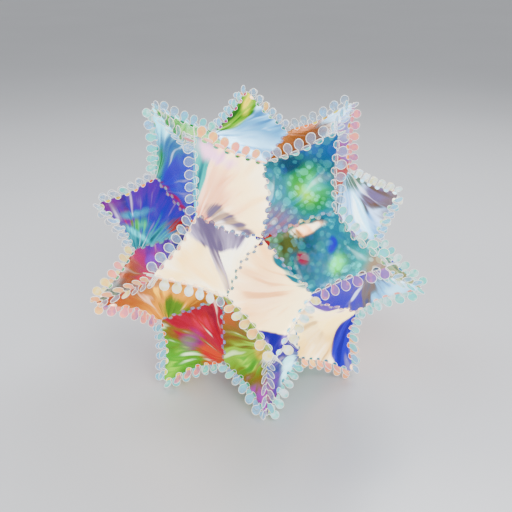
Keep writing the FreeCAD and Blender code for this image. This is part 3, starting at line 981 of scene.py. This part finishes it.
def metal_material(name, colour, rough=0.3):
    """Plated metal with fine drawn lines."""
    tree = Tree(name)
    place = tree.add("ShaderNodeTexCoord", {}, "Object")
    lines = tree.noise(tree.mapping(place, Scale=(1.0, 1.0, 14.0)), 900.0, 2.0)
    darker = tuple(c * 0.8 for c in tint(colour)[:3]) + (1,)
    tree.feed(
        tree.shader,
        {
            "Base Color": tree.mix(tree.between(lines, 0.35, 0.65), darker, tint(colour)),
            "Metallic": 1.0,
            "Roughness": tree.between(lines, 0.3, 0.7, rough * 0.7, rough * 1.3),
        },
    )
    tree.bump(lines, 0.00002)
    return tree.material


def dress(node, material):
    """Gives a carried-over part its finish."""
    for slot in NODES[node].material_slots:
        slot.material = material


# --- operators --------------------------------------------------------------------------------------


class STARLANTERN_OT_film(bpy.types.Operator):
    """Build the twenty points of the star, each of three bowed film panels with their tabs"""

    bl_idname = "star_lantern.film"
    bl_label = "Film Points"

    def execute(self, context):
        settings = context.scene.star_lantern_film
        plain = flat_panel(settings)
        lower = flat_panel(settings, UNTABBED)
        tab = tab_material(settings)
        rim = rim_highlight_material()
        all_seams = seams(settings)
        draw = random.Random(settings.seed + 1)
        for number, dimples in enumerate(star_points(), 1):
            name = f"point_{number:02d}"
            materials = []
            bm = bmesh.new()
            for slot, dimple in enumerate(dimples):
                others = [d for d in dimples if d != dimple]
                finish = finish_of(dimple, others)
                label = f"film {dimple} {others[0]} {others[1]}"
                seed = settings.pattern + 3 * number + slot
                materials.append(film_material(label, finish, settings, seed))
                flat = lower if dimple == BOTTOM else plain
                self.add_panel(bm, flat, slot, dimple, others, draw, settings)
            self.bow(bm, all_seams)
            bmesh.ops.solidify(bm, geom=bm.faces[:], thickness=settings.thickness)
            for face in bm.faces:
                face.smooth = True
            mesh = bpy.data.meshes.new(f"film_{name}")
            bm.to_mesh(mesh)
            bm.free()
            mesh.set_sharp_from_angle(angle=math.radians(50))
            piece = add_object(f"film_{name}", mesh, materials + [tab, rim])
            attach(piece, "star")
            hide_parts(name)
        return {"FINISHED"}

    def add_panel(self, bm, flat, slot, dimple, others, draw, settings):
        part = bmesh.new()
        part.from_mesh(flat)
        depth = draw.uniform(0.4, 1.5)
        twist = draw.uniform(-1.2, 1.2)
        seed = draw.uniform(0, 20)
        placing = panel_matrix(dimple, others)
        ridges = [tab_tone(ridge_letter(dimple, *pair)) for pair in (others, others[::-1])]
        if (DIMPLES[others[0]] - DIMPLES[others[1]]).dot(placing.col[0].to_3d()) < 0:
            ridges.reverse()
        self.tint_tabs(part, ridges, draw)
        calm = 0.0 if dimple == BOTTOM else 1.0
        for vert in part.verts:
            vert.co.z = calm * dish(vert.co, settings, depth, twist, seed) - settings.thickness / 2
        for face in part.faces:
            if face.material_index == 0:
                face.material_index = slot
        bmesh.ops.transform(part, matrix=placing, verts=part.verts)
        if dimple == BOTTOM:
            tip = DIMPLES[others[0]] + DIMPLES[others[1]]
            cut_seat_hole(part, math.degrees(math.atan2(tip.y, tip.x)))
        placed = bpy.data.meshes.new("placed")
        part.to_mesh(placed)
        part.free()
        bm.from_mesh(placed)
        bpy.data.meshes.remove(placed)

    def tint_tabs(self, part, ridges, draw):
        """Gives each tab head a tone near its ridge's; heads beside a valley stay nearly clear."""
        tones = part.verts.layers.float.new(TAB_TONE)
        heads = {}
        for vert in part.verts:
            right, upper = vert.co.x > 0, vert.co.y > 0
            from_tip = HALF_LONG - abs(vert.co.y)
            along = abs(vert.co.x) * math.sin(ACUTE_HALF) + from_tip * math.cos(ACUTE_HALF)
            head = (right, upper, round(along / PITCH - (EARLY if right == upper else LATE)))
            if head not in heads:
                tone = draw.choice(ridges) if draw.random() < HEAD_CHANGE else ridges[0 if right else 1]
                heads[head] = min(1.0, max(0.0, (tone if upper else 0.0) + draw.uniform(-0.05, 0.09)))
            vert[tones] = heads[head]

    def bow(self, bm, all_seams):
        points = np.array([vert.co - CENTRE for vert in bm.verts])
        for vert, place in zip(bm.verts, bow_along_seams(points, all_seams)):
            vert.co = Vector(place) + CENTRE


class STARLANTERN_OT_seat(bpy.types.Operator):
    """Finish the two rings and the screws that hold the light in the bottom dimple"""

    bl_idname = "star_lantern.seat"
    bl_label = "Seat Rings"

    def execute(self, context):
        ring = plastic_material("pearl moulded ring", "dfe3e6", rough=0.28, coat=0.3)
        dress("seat_ring", ring)
        dress("clamp_ring", ring)
        dress("clamp_screws", metal_material("zinc screw", "b9babb", 0.32))
        return {"FINISHED"}


class STARLANTERN_OT_light(bpy.types.Operator):
    """Finish the battery light: housing, dome, board, LEDs, cells and contacts"""

    bl_idname = "star_lantern.light"
    bl_label = "Battery Light"

    def execute(self, context):
        dress("light_housing", plastic_material("white housing", "e9e7e1", rough=0.45))
        milky = plastic_material("milky dome", "fbf6ea", rough=0.5, alpha=0.92, depth=0.00003)
        dress("diffuser_dome", milky)
        dress("led_board", plastic_material("white board", "e6ebe4", rough=0.35, coat=0.4))
        dress("leds", plastic_material("yellow lens", "f6e39a", rough=0.15, depth=0.00001, coat=0.8))
        dress("board_screws", metal_material("board screw", "c4c4c4", 0.28))
        dress("battery_carrier", plastic_material("black carrier", "1a1a1b", rough=0.5))
        dress("batteries", plastic_material("cell sleeve", "26323d", rough=0.25, depth=0.00001, coat=0.5))
        dress("contact_plates", metal_material("nickel contact", "cfcac0", 0.25))
        return {"FINISHED"}


class STARLANTERN_OT_tail(bpy.types.Operator):
    """Finish the tail cap with its switch, springs and push button"""

    bl_idname = "star_lantern.tail"
    bl_label = "Tail Cap and Switch"

    def execute(self, context):
        nickel = metal_material("nickel spring", "cfcac0", 0.22)
        dress("tail_cap", plastic_material("white cap", "e4e2dc", rough=0.5))
        dress("cap_contact", nickel)
        dress("battery_springs", nickel)
        dress("switch_body", plastic_material("black switch", "202022", rough=0.5))
        dress("switch_button", plastic_material("grey rubber", "3a3b3e", rough=0.7, depth=0.00008))
        return {"FINISHED"}


class STARLANTERN_OT_stage(bpy.types.Operator):
    """Set up the pale floor, the soft lights and the camera"""

    bl_idname = "star_lantern.stage"
    bl_label = "Stage"

    def execute(self, context):
        settings = context.scene.star_lantern_stage
        self.add_floor(settings)
        for name, power, azimuth, rise, side in SOFTBOXES:
            self.add_softbox(name, getattr(settings, power), math.radians(azimuth), math.radians(rise), side)
        world = bpy.data.worlds.new("surround")
        world.use_nodes = True
        background = world.node_tree.nodes["Background"]
        background.inputs["Color"].default_value = SURROUND
        background.inputs["Strength"].default_value = settings.sky
        context.scene.world = world
        self.add_camera(context, settings)
        return {"FINISHED"}

    def add_floor(self, settings):
        bm = bmesh.new()
        bmesh.ops.create_grid(bm, x_segments=1, y_segments=1, size=FLOOR_HALF)
        mesh = bpy.data.meshes.new("floor")
        bm.to_mesh(mesh)
        bm.free()
        tree = Tree("pale floor")
        place = tree.add("ShaderNodeTexCoord", {}, "Object")
        cloud = tree.noise(place, 3.0, 2.0)
        colour = tuple(settings.floor) + (1,)
        lighter = tuple(c * 1.04 for c in settings.floor) + (1,)
        shade = tree.mix(tree.between(cloud, 0.3, 0.7), colour, lighter)
        tree.feed(tree.shader, {"Base Color": shade, "Roughness": 0.32})
        add_object("floor", mesh, [tree.material])

    def add_softbox(self, name, power, azimuth, rise, side):
        """A square light that faces the star; azimuth is counted from the front, to the right."""
        lamp = bpy.data.lights.new(name, "AREA")
        lamp.energy = power
        lamp.size = side
        holder = bpy.data.objects.new(name, lamp)
        flat = math.cos(rise) * SOFTBOX_DISTANCE
        height = math.sin(rise) * SOFTBOX_DISTANCE
        offset = Vector((flat * math.sin(azimuth), -flat * math.cos(azimuth), height))
        holder.location = CENTRE + offset
        holder.rotation_euler = (-offset).to_track_quat("-Z", "Y").to_euler()
        bpy.context.scene.collection.objects.link(holder)

    def add_camera(self, context, settings):
        lens = bpy.data.cameras.new("camera")
        lens.angle = settings.field
        holder = bpy.data.objects.new("camera", lens)
        tilt = Matrix.Rotation(math.pi / 2 - settings.rise, 4, "X")
        turn = Matrix.Rotation(settings.azimuth, 4, "Z") @ tilt
        beside = Vector((*CAMERA_OFFSET, settings.distance)) * EDGE
        holder.matrix_world = Matrix.Translation(CENTRE) @ turn @ Matrix.Translation(beside)
        context.scene.collection.objects.link(holder)
        context.scene.camera = holder


class STARLANTERN_PT_panel(bpy.types.Panel):
    """Lists the lantern's builders"""

    bl_idname = "STARLANTERN_PT_panel"
    bl_label = "Star Lantern"
    bl_space_type = "VIEW_3D"
    bl_region_type = "UI"
    bl_category = "Star Lantern"

    def draw(self, context):
        layout = self.layout
        for group in ("star_lantern_film", "star_lantern_stage"):
            settings = getattr(context.scene, group)
            for name in settings.bl_rna.properties.keys():
                if name not in ("rna_type", "name"):
                    layout.prop(settings, name)
        for operator in OPERATORS:
            layout.operator(operator.bl_idname)


OPERATORS = (
    STARLANTERN_OT_film,
    STARLANTERN_OT_seat,
    STARLANTERN_OT_light,
    STARLANTERN_OT_tail,
    STARLANTERN_OT_stage,
)
CLASSES = (FilmSettings, StageSettings, *OPERATORS, STARLANTERN_PT_panel)


def register():
    for cls in CLASSES:
        bpy.utils.register_class(cls)
    bpy.types.Scene.star_lantern_film = PointerProperty(type=FilmSettings)
    bpy.types.Scene.star_lantern_stage = PointerProperty(type=StageSettings)


def unregister():
    del bpy.types.Scene.star_lantern_stage
    del bpy.types.Scene.star_lantern_film
    for cls in reversed(CLASSES):
        bpy.utils.unregister_class(cls)


def main():
    register()
    bpy.ops.star_lantern.film()
    bpy.ops.star_lantern.seat()
    bpy.ops.star_lantern.light()
    bpy.ops.star_lantern.tail()
    bpy.ops.star_lantern.stage()


if __name__ == "__main__":
    main()
